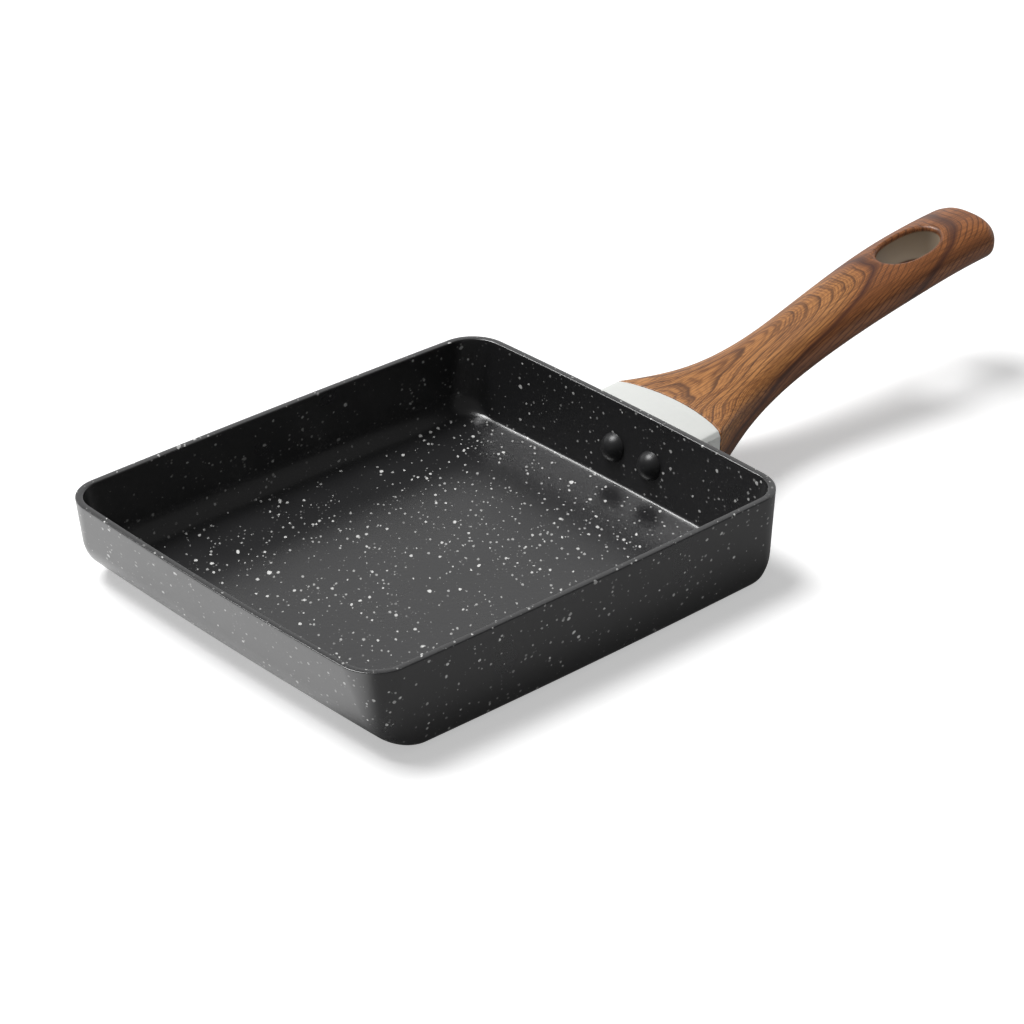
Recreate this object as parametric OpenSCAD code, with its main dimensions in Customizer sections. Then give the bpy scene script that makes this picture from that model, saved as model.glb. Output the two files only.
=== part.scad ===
// Rectangular rolled-omelette pan: a coated, cast pan body with a riveted
// handle. The handle is a moulded grip on a metal tang, with a pale collar
// between the grip and the pan. Millimetres. +X runs along the handle, +Z is
// up, and the origin is the middle of the face that the pan stands on.

/* [Pan body] */
// Length of the rim, along the handle
pan_l = 180; // [150:1:220]
// Width of the rim
pan_w = 150; // [120:1:180]
// Height of the rim above the table
pan_h = 32; // [29:0.5:42]
// Thickness of the walls
wall_t = 2.5; // [1.8:0.1:3.2]
// Thickness of the floor
floor_t = 4.2; // [3:0.1:5]
// How far the front wall leans in between rim and base
front_lean = 8; // [4:0.5:12]
// How far the rear wall leans in between rim and base
rear_lean = 5.5; // [3:0.5:9]
// How far each side wall leans in between rim and base
side_lean = 0.5; // [0.2:0.1:3]
// Outward bow of the front and rear walls at mid length
end_bow = 1.1; // [0:0.1:2]
// Outward bow of the side walls at mid length
side_bow = 0.7; // [0:0.1:2]
// Radius of the upright corners at the rim
corner_rim_r = 13.5; // [10:0.5:20]
// Radius of the upright corners at the base
corner_base_r = 5.5; // [3:0.5:8]
// Radius of the inner corners at the floor
corner_floor_r = 9; // [6:0.5:12]
// Outer radius between the front wall and the base
front_base_r = 19; // [14:0.5:22]
// Outer radius between the rear wall and the base
rear_base_r = 10.5; // [8:0.5:12]
// Outer radius between a side wall and the base
side_base_r = 2.5; // [1.5:0.1:4]
// Inner radius between the front wall and the floor
front_floor_r = 16.5; // [12:0.5:20]
// Inner radius between the rear wall and the floor
rear_floor_r = 1.5; // [1:0.1:4]
// Inner radius between a side wall and the floor
side_floor_r = 8; // [5:0.5:10]
// Rounding of the rim's two edges
rim_edge = 0.4; // [0.2:0.1:0.8]

/* [Base plate] */
// Height that the steel base plate stands below the pan body
plate_t = 0.8; // [0.5:0.1:2]
// Border between the edge of the flat underside and the plate
plate_border = 4; // [2:0.5:12]
// Radius of the plate's corners
plate_corner_r = 12; // [4:1:20]

/* [Handle fixing] */
// Sideways place of the handle, from the middle of the rear wall
handle_y = -6.2; // [-12:0.1:12]
// Height of the rivet heads above the round foot of the wall
rivet_lift = 5; // [3:0.1:6]
// Distance between the two rivets
rivet_pitch = 17.3; // [16.5:0.1:22]
// Radius of a rivet's shank
rivet_r = 2.5; // [1.8:0.1:2.8]
// Radius of a rivet's domed head
rivet_head_r = 5.1; // [4.2:0.1:6]
// Height of a rivet's domed head
rivet_head_h = 3.6; // [2:0.1:4]
// Radius of the rivet's formed tail
rivet_tail_r = 3.7; // [3.2:0.1:4]
// Height of the rivet's formed tail
rivet_tail_h = 1.4; // [0.8:0.1:2]
// Thickness of the bracket's riveted pad
pad_t = 3.2; // [2.5:0.1:4]
// Width of the pad
pad_w = 33; // [30:0.5:36]
// Height of the pad
pad_h = 11.5; // [10:0.5:14]
// Radius of the pad's corners
pad_corner_r = 4; // [2:0.5:4.5]
// Length over which the neck keeps the pad's height
neck_root = 2; // [1:0.1:3]
// How much lower than the pad the neck is, above and below
neck_inset = 0.5; // [0.2:0.1:1]
// Room between a rivet's tail and the neck that joins pad and tang
tail_room = 0.9; // [0.4:0.1:2]
// Length of the tang inside the grip
tang_l = 46; // [38:1:60]
// Width of the tang
tang_w = 12; // [9:0.5:14]
// Height of the tang
tang_h = 8; // [6:0.5:8.5]
// Height of the tang above the grip's middle line, at the joint
tang_lift = 2.3; // [1.5:0.1:2.8]
// Rise of the tang, in degrees
tang_rise = 7.5; // [6:0.5:8.5]

/* [Collar] */
// Distance from the rear rim to the grip, measured at the collar's sides
collar_l = 12.4; // [10:0.1:16]
// Half the width of the collar
collar_half_w = 25; // [21:0.1:28]
// How far the joint between collar and grip curves out at mid width
joint_bow = 4; // [2:0.1:6]
// Thickness of the collar below the bracket's pad
collar_skin = 1.4; // [1:0.1:3]
// Slope of the collar's top towards the pan
collar_fall = 0.8; // [0:0.1:1.5]
// Width that the bevel takes off the collar's top and off its side
collar_bevel = 1.5; // [1.2:0.1:2]

/* [Grip] */
// Length of the grip, from the joint at the sides to its end
grip_l = 154.8; // [130:0.5:180]
// Depth of the grip's middle line below the rim, at the joint
grip_below_rim = 10.3; // [9:0.1:12]
// Distance from the joint to the steepest place of the grip
steep_l = 62.5; // [50:0.5:75]
// Rise of the middle line from the joint to the steepest place
grip_mid_rise = 12.7; // [11:0.1:15]
// Rise of the middle line from the joint to the end
grip_end_rise = 27.7; // [22:0.1:33]
// Slope of the middle line at the joint
joint_slope = 0.06; // [0:0.01:0.1]
// Slope of the middle line at the steepest place
steep_slope = 0.27; // [0.22:0.01:0.34]
// Slope of the middle line at the end
end_slope = 0.02; // [0:0.01:0.08]
// How fast the sides draw in at the joint
joint_flare = 0.43; // [0.3:0.01:0.5]
// Distance from the joint to the narrowest place
waist_l = 57.6; // [50:0.2:70]
// Half width at the narrowest place
waist_half_w = 12.3; // [10.5:0.1:15]
// Half width at the hanging hole
swell_half_w = 14.6; // [13:0.1:17]
// Half height at the joint
front_half_h = 8.3; // [8:0.1:9.5]
// Half height at the end
end_half_h = 7.3; // [6.5:0.1:8.5]
// Extra height of the top at mid width, at the joint
crown = 1.1; // [0:0.1:2]
// Length over which the end rounds off in plan
end_round = 8; // [5:0.5:12]
// Length over which the end rounds off in side view
edge_round = 4.2; // [3:0.1:6]
// Length of the hanging hole
hole_l = 28; // [20:0.5:32]
// Width of the hanging hole
hole_w = 15.5; // [11:0.5:17]
// Distance from the hole's middle to the grip's end
hole_back = 35.1; // [28:0.5:42]

/* [Grip screw] */
// Distance from the joint to the screw
screw_x = 27.6; // [22:0.5:32]
// Radius of the screw's shank
screw_r = 2; // [1.5:0.1:2.5]
// Radius of the screw's head
screw_head_r = 4; // [3.4:0.1:4.4]
// Height of the screw's head
screw_head_h = 2.4; // [1.8:0.1:2.6]
// Bevel round the screw's head
screw_bevel = 0.8; // [0.3:0.1:1]
// Length of each slot of the cross recess
recess_l = 4.8; // [4:0.1:5]
// Width of each slot of the cross recess
recess_w = 1; // [0.7:0.1:1.2]
// Depth of the cross recess
recess_h = 1.3; // [0.8:0.1:1.5]
// Distance from the screw's tip to the top of the tang
tip_margin = 0.8; // [0.2:0.1:3]
// Thickness of the lock washer
washer_t = 0.8; // [0.5:0.1:1]
// Outer radius of the lock washer
washer_r = 3.6; // [3.1:0.1:4]
// Width of the split in the lock washer
washer_split = 0.6; // [0.4:0.1:1]
// Wall of the grip under the tang, left for the screw to clamp
clamp_t = 2.4; // [1.6:0.1:2.8]

/* [Clearances] */
// Gap between the handle's pieces and the pan's wall
wall_gap = 0.3; // [0.1:0.05:0.6]
// Gap between a piece and the socket that it sits in
socket_gap = 0.3; // [0.15:0.05:0.5]
// Gap at the joint between collar and grip
joint_gap = 0.15; // [0.1:0.05:0.4]
// Gap round a rivet's shank, and under its head
rivet_gap = 0.1; // [0.05:0.05:0.2]

/* [Hidden] */
$fn = 64;

// Steps of the facetted surfaces: a corner and a side of the pan, the turn of
// a foot radius and of the grip's end in degrees, points round the grip and
// the hanging hole, and stations along the grip
corner_steps = 8;
side_steps = 6;
foot_turn = 8;
last_turn = 80;
end_turn = 15;
section_points = 40;
hole_points = 48;
waist_stations = 10;
body_stations = 14;
joint_facets = 180;

// No ring of a foot radius lies this close to the rim
rim_clear = 2;
// A cut runs this far past the surface that it opens
over = 1;
// A cut through the whole part is this long
reach = pan_w;

floor_z = plate_t + floor_t;

// A wall is [lean over the whole height, radius at its foot]
front_wall = [front_lean, front_base_r];
rear_wall = [rear_lean, rear_base_r];
side_wall = [side_lean, side_base_r];
front_inside = [front_lean, front_floor_r];
rear_inside = [rear_lean, rear_floor_r];
side_inside = [side_lean, side_floor_r];

function lean_angle(wall) = atan(wall[0] / pan_h);
function wall_line(wall, z) = wall[0] * (pan_h - z) / pan_h;
function foot_inset(wall, base_z) =
    wall_line(wall, base_z + wall[1]) + wall[1] / cos(lean_angle(wall));
// Height at which a wall's straight part ends and its foot radius begins
function foot_top(wall, base_z) = base_z + wall[1] * (1 - sin(lean_angle(wall)));
// How far a wall lies inside the rim at height z: the straight wall, then the
// quarter round that is tangent to it and to the plane z = base_z
function inset(wall, z, base_z) =
    z >= foot_top(wall, base_z) ? wall_line(wall, z)
    : foot_inset(wall, base_z)
      - sqrt(max(0, pow(wall[1], 2) - pow(base_z + wall[1] - z, 2)));

// Plan outline of the pan: four round corners joined by slightly bowed sides
function outline(x0, x1, half_w, r) =
    let (centres = [[x1 - r, half_w - r], [x0 + r, half_w - r],
                    [x0 + r, r - half_w], [x1 - r, r - half_w]])
    [for (i = [0:3])
        let (c = centres[i],
             d = centres[(i + 1) % 4],
             n = [cos(90 * i + 90), sin(90 * i + 90)],
             bow = i % 2 == 0 ? side_bow : end_bow)
        each concat(
            [for (k = [0:corner_steps])
                let (a = 90 * i + 90 * k / corner_steps)
                c + r * [cos(a), sin(a)]],
            [for (k = [1:side_steps - 1])
                let (t = 2 * k / side_steps - 1)
                (c + d) / 2 + t * (d - c) / 2 + n * (r + bow * (1 - t * t))])];

function ring(z, front, rear, side, r) =
    [for (p = outline(-pan_l / 2 + front, pan_l / 2 - rear, pan_w / 2 - side, r))
        [p[0], p[1], z]];
function corner_r(rim_r, foot_r, z) = foot_r + (rim_r - foot_r) * z / pan_h;

function outer_ring(z, edge = 0) =
    ring(z, inset(front_wall, z, plate_t) + edge, inset(rear_wall, z, plate_t) + edge,
         inset(side_wall, z, plate_t) + edge,
         corner_r(corner_rim_r, corner_base_r, z) - edge);
function inner_ring(z, edge = 0) =
    ring(z, inset(front_inside, z, floor_z) + wall_t - edge,
         inset(rear_inside, z, floor_z) + wall_t - edge,
         inset(side_inside, z, floor_z) + wall_t - edge,
         corner_r(corner_rim_r - wall_t, corner_floor_r, z) + edge);

// Heights of the rings: equal turns of the largest foot radius
function ring_heights(base_z, r) =
    [for (a = [0:foot_turn:last_turn])
        let (z = base_z + r * (1 - cos(a)))
        if (z < pan_h - rim_clear) z];
outer_heights = ring_heights(plate_t, front_base_r);
inner_heights = ring_heights(floor_z, front_floor_r);
shell_rings = concat(
    [for (z = outer_heights) outer_ring(z)],
    [outer_ring(pan_h - rim_edge), outer_ring(pan_h, rim_edge)],
    [inner_ring(pan_h, -rim_edge), inner_ring(pan_h - rim_edge)],
    [for (k = [len(inner_heights) - 1:-1:0]) inner_ring(inner_heights[k])]);

// Solid through a stack of rings that have equal numbers of points. The first
// ring runs clockwise seen from outside its end.
module loft(rings) {
    m = len(rings[0]);
    n = len(rings);
    points = [for (r = rings) each r];
    sides = [for (i = [0:n - 2], j = [0:m - 1])
        let (a = i * m + j, b = i * m + (j + 1) % m)
        each [[a, a + m, b], [b, a + m, b + m]]];
    caps = [[for (j = [0:m - 1]) j],
            [for (j = [m - 1:-1:0]) (n - 1) * m + j]];
    polyhedron(points, concat(sides, caps), convexity = 6);
}

// Place of the rear wall's outer face at the rivets' height. Inside
// at_rear_wall, +X points out of the wall and +Z up along it.
rear_span = pan_w / 2 - corner_rim_r;
wall_tilt = lean_angle(rear_wall);
rivet_z = foot_top(rear_inside, floor_z) + rivet_lift + rivet_head_r
          - wall_t * sin(wall_tilt);
wall_x = pan_l / 2 + end_bow * (1 - pow(handle_y / rear_span, 2))
         - wall_line(rear_wall, rivet_z);
module at_rear_wall() {
    translate([wall_x, handle_y, rivet_z]) rotate([0, wall_tilt, 0]) children();
}
module at_rivet(side) {
    at_rear_wall() translate([0, side * rivet_pitch / 2, 0]) rotate([0, 90, 0]) children();
}

// Rectangle with round corners, centred
module round_rect(w, h, r) {
    square([w - 2 * r, h], center = true);
    square([w, h - 2 * r], center = true);
    for (x = [-1, 1], y = [-1, 1])
        translate([x * (w / 2 - r), y * (h / 2 - r)]) circle(r);
}

module pan_shell() {
    color("#2c2c2e")
    difference() {
        loft(shell_rings);
        for (side = [-1, 1])
            at_rivet(side)
            translate([0, 0, -wall_t - over - rivet_head_h])
            cylinder(r = rivet_r + rivet_gap, h = wall_t + 2 * over + rivet_head_h);
    }
}

// Flat part of the underside, which the plate covers
flat_x0 = -pan_l / 2 + foot_inset(front_wall, plate_t);
flat_x1 = pan_l / 2 - foot_inset(rear_wall, plate_t);
flat_half_w = pan_w / 2 - foot_inset(side_wall, plate_t);
module base_plate() {
    color("silver")
    translate([(flat_x0 + flat_x1) / 2, 0, 0])
    linear_extrude(plate_t)
    round_rect(flat_x1 - flat_x0 - 2 * plate_border, 2 * (flat_half_w - plate_border),
               plate_corner_r);
}

// Domed head inside the pan, shank through wall and pad, tail behind the pad
rivet_seat = wall_t + rivet_gap;
pad_back = wall_gap + pad_t;
dome_r = (pow(rivet_head_r, 2) + pow(rivet_head_h, 2)) / (2 * rivet_head_h);
module rivet(side) {
    color("#242424")
    at_rivet(side) {
        translate([0, 0, -rivet_seat])
        intersection() {
            translate([0, 0, dome_r - rivet_head_h]) sphere(dome_r);
            translate([0, 0, -rivet_head_h])
            cylinder(r = rivet_head_r + over, h = rivet_head_h);
        }
        translate([0, 0, -rivet_seat - rivet_head_h / 2])
        cylinder(r = rivet_r, h = rivet_seat + rivet_head_h / 2 + pad_back + rivet_tail_h);
        translate([0, 0, pad_back + rivet_gap])
        cylinder(r = rivet_tail_r, h = rivet_tail_h);
    }
}
module rivet_left() {
    rivet(1);
}
module rivet_right() {
    rivet(-1);
}

// The bracket's three parts. Each grows by g on every side, so that the
// sockets for them are cut with the same shapes.
joint_x = pan_l / 2 + collar_l;
grip_z = pan_h - grip_below_rim;
grip_mid_z = grip_z + grip_mid_rise;
grip_end_z = grip_z + grip_end_rise;
tang_z = grip_z + tang_lift;
neck_w = rivet_pitch - 2 * rivet_tail_r - 2 * tail_room;
neck_end = joint_x - collar_l / 3;
tang_start = joint_x - collar_l / 2;
function tang_mid(x) = tang_z + (x - joint_x) * tan(tang_rise);
module pad(g, back) {
    at_rear_wall()
    translate([wall_gap - g, 0, 0])
    rotate([90, 0, 90])
    linear_extrude(pad_t + g + back)
    round_rect(pad_w + 2 * g, pad_h + 2 * g, pad_corner_r);
}
module neck(g) {
    front = wall_x + pad_t / 2;
    root = wall_x + pad_t + neck_root;
    low = rivet_z - pad_h / 2 + neck_inset;
    high = rivet_z + pad_h / 2 - neck_inset;
    translate([0, handle_y + neck_w / 2 + g, 0])
    rotate([90, 0, 0])
    linear_extrude(neck_w + 2 * g)
    polygon([[front, low - g], [root, low - g],
             [neck_end + g, tang_mid(neck_end) - tang_h / 2 - g],
             [neck_end + g, tang_mid(neck_end) + tang_h / 2 + g],
             [root, high + g], [front, high + g]]);
}
module tang(g) {
    translate([tang_start, handle_y, tang_mid(tang_start)])
    rotate([0, -tang_rise, 0])
    translate([-g, -tang_w / 2 - g, -tang_h / 2 - g])
    cube([tang_l + joint_x - tang_start + 2 * g, tang_w + 2 * g, tang_h + 2 * g]);
}

module handle_bracket() {
    color("silver")
    difference() {
        union() {
            pad(0, 0);
            neck(0);
            tang(0);
        }
        for (side = [-1, 1])
            at_rivet(side) cylinder(r = rivet_r + rivet_gap, h = pad_back + over);
        translate([joint_x + screw_x, handle_y, 0])
        cylinder(r = screw_r + rivet_gap, h = reach);
    }
}

// The handle's outer form. Stations run along X; smooth(t) eases from 0 to 1.
grip_end = joint_x + grip_l;
waist_x = joint_x + waist_l;
steep_x = joint_x + steep_l;
swell_x = grip_end - hole_back;
function smooth(t) = let (u = min(1, max(0, t))) u * u * (3 - 2 * u);
// Cubic from height a, slope s to height b, slope e over a length l
function cubic(t, l, a, s, b, e) =
    a * (1 - smooth(t)) + b * smooth(t) + l * (s * t * pow(1 - t, 2) - e * t * t * (1 - t));
function mid_z(x) =
    x < joint_x ? grip_z
    : x < steep_x
        ? cubic((x - joint_x) / steep_l, steep_l, grip_z, joint_slope, grip_mid_z, steep_slope)
        : cubic((x - steep_x) / (grip_end - steep_x), grip_end - steep_x,
                grip_mid_z, steep_slope, grip_end_z, end_slope);
function mid_slope(x) = (mid_z(x + over) - mid_z(x - over)) / (2 * over);
function plain_half_w(x) =
    x < joint_x ? collar_half_w
    : x < waist_x
        ? cubic((x - joint_x) / waist_l, waist_l, collar_half_w, -joint_flare, waist_half_w, 0)
        : waist_half_w + (swell_half_w - waist_half_w)
                         * smooth((x - waist_x) / (swell_x - waist_x));
function plain_half_h(x) =
    front_half_h + (end_half_h - front_half_h) * max(0, x - joint_x) / grip_l;
oval_power = 2.2;
function half_w(x) =
    let (u = max(0, (x - grip_end + end_round) / end_round))
    plain_half_w(x) * pow(max(0, 1 - pow(u, oval_power)), 1 / oval_power);
function half_h(x) =
    let (u = max(0, (x - grip_end + edge_round) / edge_round))
    plain_half_h(x) * sqrt(max(0, 1 - u * u));
// The section is a superellipse: boxy at the joint, nearly oval further back
box_fade_l = 9;
box_power = 15;
body_power = 2.5;
function fade(x) = exp(-max(0, x - joint_x) / box_fade_l);
function power(x) = body_power + box_power * fade(x);

function curve(c, p) = sign(c) * pow(abs(c), 2 / p);
function section(x, w, low, high, p, top) =
    [for (k = [0:section_points - 1])
        let (a = 360 * k / section_points,
             y = curve(cos(a), p),
             z = curve(sin(a), p))
        [x, handle_y + w * y,
         (low + high) / 2 + (high - low) / 2 * z + (z > 0 ? top * (1 - y * y) : 0)]];
function grip_section(x) =
    section(x, half_w(x), mid_z(x) - half_h(x), mid_z(x) + half_h(x), power(x),
            crown * fade(x) * half_h(x) / plain_half_h(x));
collar_low = rivet_z - pad_h / 2 - socket_gap - collar_skin;
// The collar's underside is level below the pad's seat, and rises from there to the grip
level_x = wall_x + pad_t + rivet_tail_h + 3 * socket_gap;
function collar_section(x) =
    let (t = max(0, joint_x - x) / (joint_x - wall_x),
         rise = min(1, max(0, joint_x - x) / (joint_x - level_x)),
         low = mid_z(x) - half_h(x))
    section(x, half_w(x), low + (collar_low - low) * rise,
            mid_z(x) + half_h(x) - collar_fall * t, power(x), crown * fade(x));

// Upright cylinder whose wall is the curved joint between collar and grip
joint_r = (pow(collar_half_w, 2) + pow(joint_bow, 2)) / (2 * joint_bow);
module joint_face(g) {
    translate([joint_x + joint_bow - joint_r, handle_y, -over])
    cylinder(r = joint_r + g, h = reach, $fn = joint_facets);
}

// Plane that bevels the collar's upper edge on one side, along its sloping top
collar_top = grip_z + front_half_h;
fall_angle = atan(collar_fall / (joint_x - wall_x));
module bevel_cut(side) {
    translate([joint_x, handle_y + side * collar_half_w, collar_top])
    rotate([0, -fall_angle, 0])
    rotate([-side * 45, 0, 0])
    translate([0, 0, reach / 2 - collar_bevel * sin(45)])
    cube(reach, center = true);
}

module collar() {
    color("#dcdcd8")
    difference() {
        intersection() {
            loft([for (x = [pan_l / 2 - rear_lean - over, level_x, joint_x - collar_l / 2, joint_x,
                            joint_x + joint_bow / 2, joint_x + joint_bow + over])
                    collar_section(x)]);
            joint_face(0);
        }
        // The pan's wall
        at_rear_wall()
        translate([wall_gap - reach, -reach / 2, -reach / 2]) cube(reach);
        for (side = [-1, 1])
            bevel_cut(side);
        // Seats of the bracket and of the rivets' tails
        pad(socket_gap, rivet_tail_h + 2 * socket_gap);
        neck(socket_gap);
        tang(socket_gap);
    }
}

// Underside of the tang's socket at the screw, and the face the washer bears on
socket_z = tang_mid(joint_x + screw_x) - tang_h / 2 - socket_gap;
washer_face = socket_z - clamp_t;
screw_tip = clamp_t + socket_gap + tang_h - tip_margin;
module at_screw() {
    translate([joint_x + screw_x, handle_y, washer_face]) children();
}

// Oval hole through the grip, square to the middle line there
module hanging_hole() {
    translate([swell_x, handle_y, mid_z(swell_x)])
    rotate([0, -atan(mid_slope(swell_x)), 0])
    translate([0, 0, -reach / 2])
    linear_extrude(reach)
    polygon([for (k = [0:hole_points - 1])
        let (a = 360 * k / hole_points)
        [hole_l / 2 * curve(cos(a), oval_power), hole_w / 2 * curve(sin(a), oval_power)]]);
}

// The last section stands this far from the end, so that it has an area
end_cut = 0.02;
module grip() {
    nose = grip_end - end_round;
    stations = concat(
        [for (k = [0:waist_stations]) joint_x - over + k * (waist_l + over) / waist_stations],
        [for (k = [1:body_stations]) waist_x + k * (nose - waist_x) / body_stations],
        [for (a = [end_turn:end_turn:90 - end_turn])
            nose + (end_round - edge_round) * sin(a)],
        [for (a = [0:end_turn:90 - end_turn]) grip_end - edge_round * (1 - sin(a))],
        [grip_end - end_cut]);
    color("#8f5a34")
    difference() {
        loft([for (x = stations) grip_section(x)]);
        joint_face(joint_gap);
        tang(socket_gap);
        hanging_hole();
        at_screw() {
            translate([0, 0, -reach]) cylinder(r = screw_head_r + 2 * socket_gap, h = reach);
            cylinder(r = screw_r + socket_gap, h = clamp_t + over);
        }
    }
}

// Pan-head screw with a cross recess, driven up from below
module grip_screw() {
    head_z = -washer_t - socket_gap;
    color("silver")
    at_screw()
    difference() {
        union() {
            translate([0, 0, head_z - screw_head_h])
            cylinder(r1 = screw_head_r - screw_bevel, r2 = screw_head_r, h = screw_head_h / 2);
            translate([0, 0, head_z - screw_head_h / 2])
            cylinder(r = screw_head_r, h = screw_head_h / 2);
            translate([0, 0, head_z - socket_gap])
            cylinder(r = screw_r, h = screw_tip - head_z + socket_gap);
        }
        for (a = [0, 90])
            rotate([0, 0, a])
            translate([-recess_l / 2, -recess_w / 2, head_z - screw_head_h - over])
            cube([recess_l, recess_w, recess_h + over]);
    }
}

// Split spring washer between the screw's head and the grip
module lock_washer() {
    color("silver")
    at_screw()
    translate([0, 0, -washer_t - socket_gap / 2])
    difference() {
        cylinder(r = washer_r, h = washer_t);
        translate([0, 0, -over]) cylinder(r = screw_r + rivet_gap, h = washer_t + 2 * over);
        translate([0, -washer_split / 2, -over])
        cube([washer_r + over, washer_split, washer_t + 2 * over]);
    }
}

pan_shell();
base_plate();
handle_bracket();
rivet_left();
rivet_right();
collar();
grip();
grip_screw();
lock_washer();
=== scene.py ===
import math

import bmesh
import bpy
import numpy as np
from mathutils import Matrix


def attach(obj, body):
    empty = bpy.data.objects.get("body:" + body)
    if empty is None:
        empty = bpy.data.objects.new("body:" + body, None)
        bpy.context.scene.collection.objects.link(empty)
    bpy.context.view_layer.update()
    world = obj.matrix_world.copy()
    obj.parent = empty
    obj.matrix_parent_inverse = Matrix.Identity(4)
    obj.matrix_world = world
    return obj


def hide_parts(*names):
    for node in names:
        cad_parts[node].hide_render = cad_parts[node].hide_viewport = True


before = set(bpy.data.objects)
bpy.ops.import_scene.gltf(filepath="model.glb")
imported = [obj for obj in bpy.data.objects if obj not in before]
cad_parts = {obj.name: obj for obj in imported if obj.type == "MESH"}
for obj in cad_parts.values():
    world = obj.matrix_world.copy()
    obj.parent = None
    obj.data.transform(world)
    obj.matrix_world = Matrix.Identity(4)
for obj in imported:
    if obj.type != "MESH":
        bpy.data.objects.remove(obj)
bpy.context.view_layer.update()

# The pan body is one aluminium casting with a near-black, white-speckled non-stick coating
# inside and out. Its front wall sweeps up in a big round, its rear wall is rounded outside and
# crisp inside, its side walls stand almost upright, and two holes in the rear take the rivets.
MM = 0.001
rim_l, rim_w, rim_h = 180.0, 150.0, 32.0
wall_t = 2.5
plate_t = 0.8
floor_z = 5.0
front_lean, rear_lean, side_lean = 8.0, 5.5, 0.5
end_bow, side_bow = 1.085, 0.7
corner_rim_r, corner_base_r, corner_floor_r = 13.5, 5.5, 9.0
outer_feet = (19.0, 10.5, 2.5)
inner_feet = (16.5, 1.5, 8.0)
rim_edge = 0.4
handle_y = -6.2
rivet_pitch = 17.3
rivet_hole_r = 2.6
rivet_lift, head_r = 5.0, 5.1


def wall_inset(lean, foot_r, z, base):
    """How far a wall lies inside the rim at height z: a straight lean, then a quarter round that
    is tangent to it and to the flat at height base."""
    tilt = math.atan(lean / rim_h)
    start = lean * (rim_h - base - foot_r) / rim_h + foot_r / math.cos(tilt)
    arc = start - np.sqrt(np.maximum(0, foot_r ** 2 - (base + foot_r - z) ** 2))
    return np.where(z >= base + foot_r * (1 - math.sin(tilt)), lean * (rim_h - z) / rim_h, arc)


def plan_rings(z, front, rear, side, r):
    """One closed outline for each height z: four corner arcs of radius r, joined by sides that
    bow out by end_bow or side_bow times one minus t squared, with t from -1 to 1 along the side."""
    x0, x1, half = front - rim_l / 2, rim_l / 2 - rear, rim_w / 2 - side
    cx = np.stack([x1 - r, x0 + r, x0 + r, x1 - r])[..., None]
    cy = np.stack([half - r, half - r, r - half, r - half])[..., None]
    t = np.linspace(-1, 1, 42)[1:-1]
    parts = []
    for i in range(4):
        k = (i + 1) % 4
        arc = np.linspace(i, i + 1, 25) * math.pi / 2
        parts.append(np.stack([cx[i] + r[:, None] * np.cos(arc), cy[i] + r[:, None] * np.sin(arc)], -1))
        out = r[:, None] + (end_bow if i % 2 else side_bow) * (1 - t * t)
        turn = (i + 1) * math.pi / 2
        side_x = (cx[i] + cx[k]) / 2 + t * (cx[k] - cx[i]) / 2 + round(math.cos(turn)) * out
        side_y = (cy[i] + cy[k]) / 2 + t * (cy[k] - cy[i]) / 2 + round(math.sin(turn)) * out
        parts.append(np.stack([side_x, side_y], -1))
    ring = np.concatenate(parts, 1)
    return np.concatenate([ring, np.broadcast_to(z[:, None, None], ring.shape[:2] + (1,))], 2)


def side_of_pan(z, base, feet, skin, corners, edge):
    """Rings of one side of the wall: the wall insets at height z, plus skin, with corner radii
    that grow in step with the height."""
    insets = [wall_inset(lean, foot, z, base) + skin + edge
              for lean, foot in zip((front_lean, rear_lean, side_lean), feet)]
    return plan_rings(z, *insets, corners[0] + (corners[1] - corners[0]) * z / rim_h - edge)


def grid_faces(rows, cols):
    """Quads between the rows of a grid whose rows are closed loops."""
    i = np.arange(rows - 1)[:, None] * cols
    j = np.arange(cols)
    k = (j + 1) % cols
    return np.stack([i + j, i + k, i + cols + k, i + cols + j], -1).reshape(-1, 4)


def make_piece(name, points, faces, sharp=40):
    """A smooth-shaded mesh object at the origin from points in millimetres, with points that lie
    on each other welded, and edges sharper than an angle kept crisp."""
    mesh = bpy.data.meshes.new(name)
    mesh.from_pydata((np.asarray(points).reshape(-1, 3) * MM).tolist(), [], [list(f) for f in faces])
    weld = bmesh.new()
    weld.from_mesh(mesh)
    bmesh.ops.remove_doubles(weld, verts=weld.verts, dist=1e-7)
    weld.to_mesh(mesh)
    weld.free()
    mesh.shade_smooth()
    mesh.set_sharp_from_angle(angle=math.radians(sharp))
    piece = bpy.data.objects.new(name, mesh)
    bpy.context.scene.collection.objects.link(piece)
    return piece


def lofted(name, rings, sharp=40):
    """A closed solid through a stack of rings, capped at both ends by a flat face."""
    rows, cols = rings.shape[:2]
    caps = [list(range(cols))[::-1], list(range((rows - 1) * cols, rows * cols))]
    return make_piece(name, rings, list(grid_faces(rows, cols)) + caps, sharp)


def turned(profile, origin, axis, steps=72):
    """Rings of a turned form: profile gives (radius, distance along the axis) pairs, and each
    turns round the axis through the origin."""
    axis = np.array(axis) / np.linalg.norm(axis)
    side = np.cross(axis, (0.0, 1.0, 0.0) if abs(axis[1]) < 0.9 else (1.0, 0.0, 0.0))
    side /= np.linalg.norm(side)
    across = np.cross(axis, side)
    a = np.linspace(0, 2 * math.pi, steps, endpoint=False)
    circle = np.cos(a)[:, None] * side + np.sin(a)[:, None] * across
    profile = np.asarray(profile, float)
    return (np.asarray(origin, float) + profile[:, 1, None, None] * axis
            + profile[:, 0, None, None] * circle)


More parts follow.
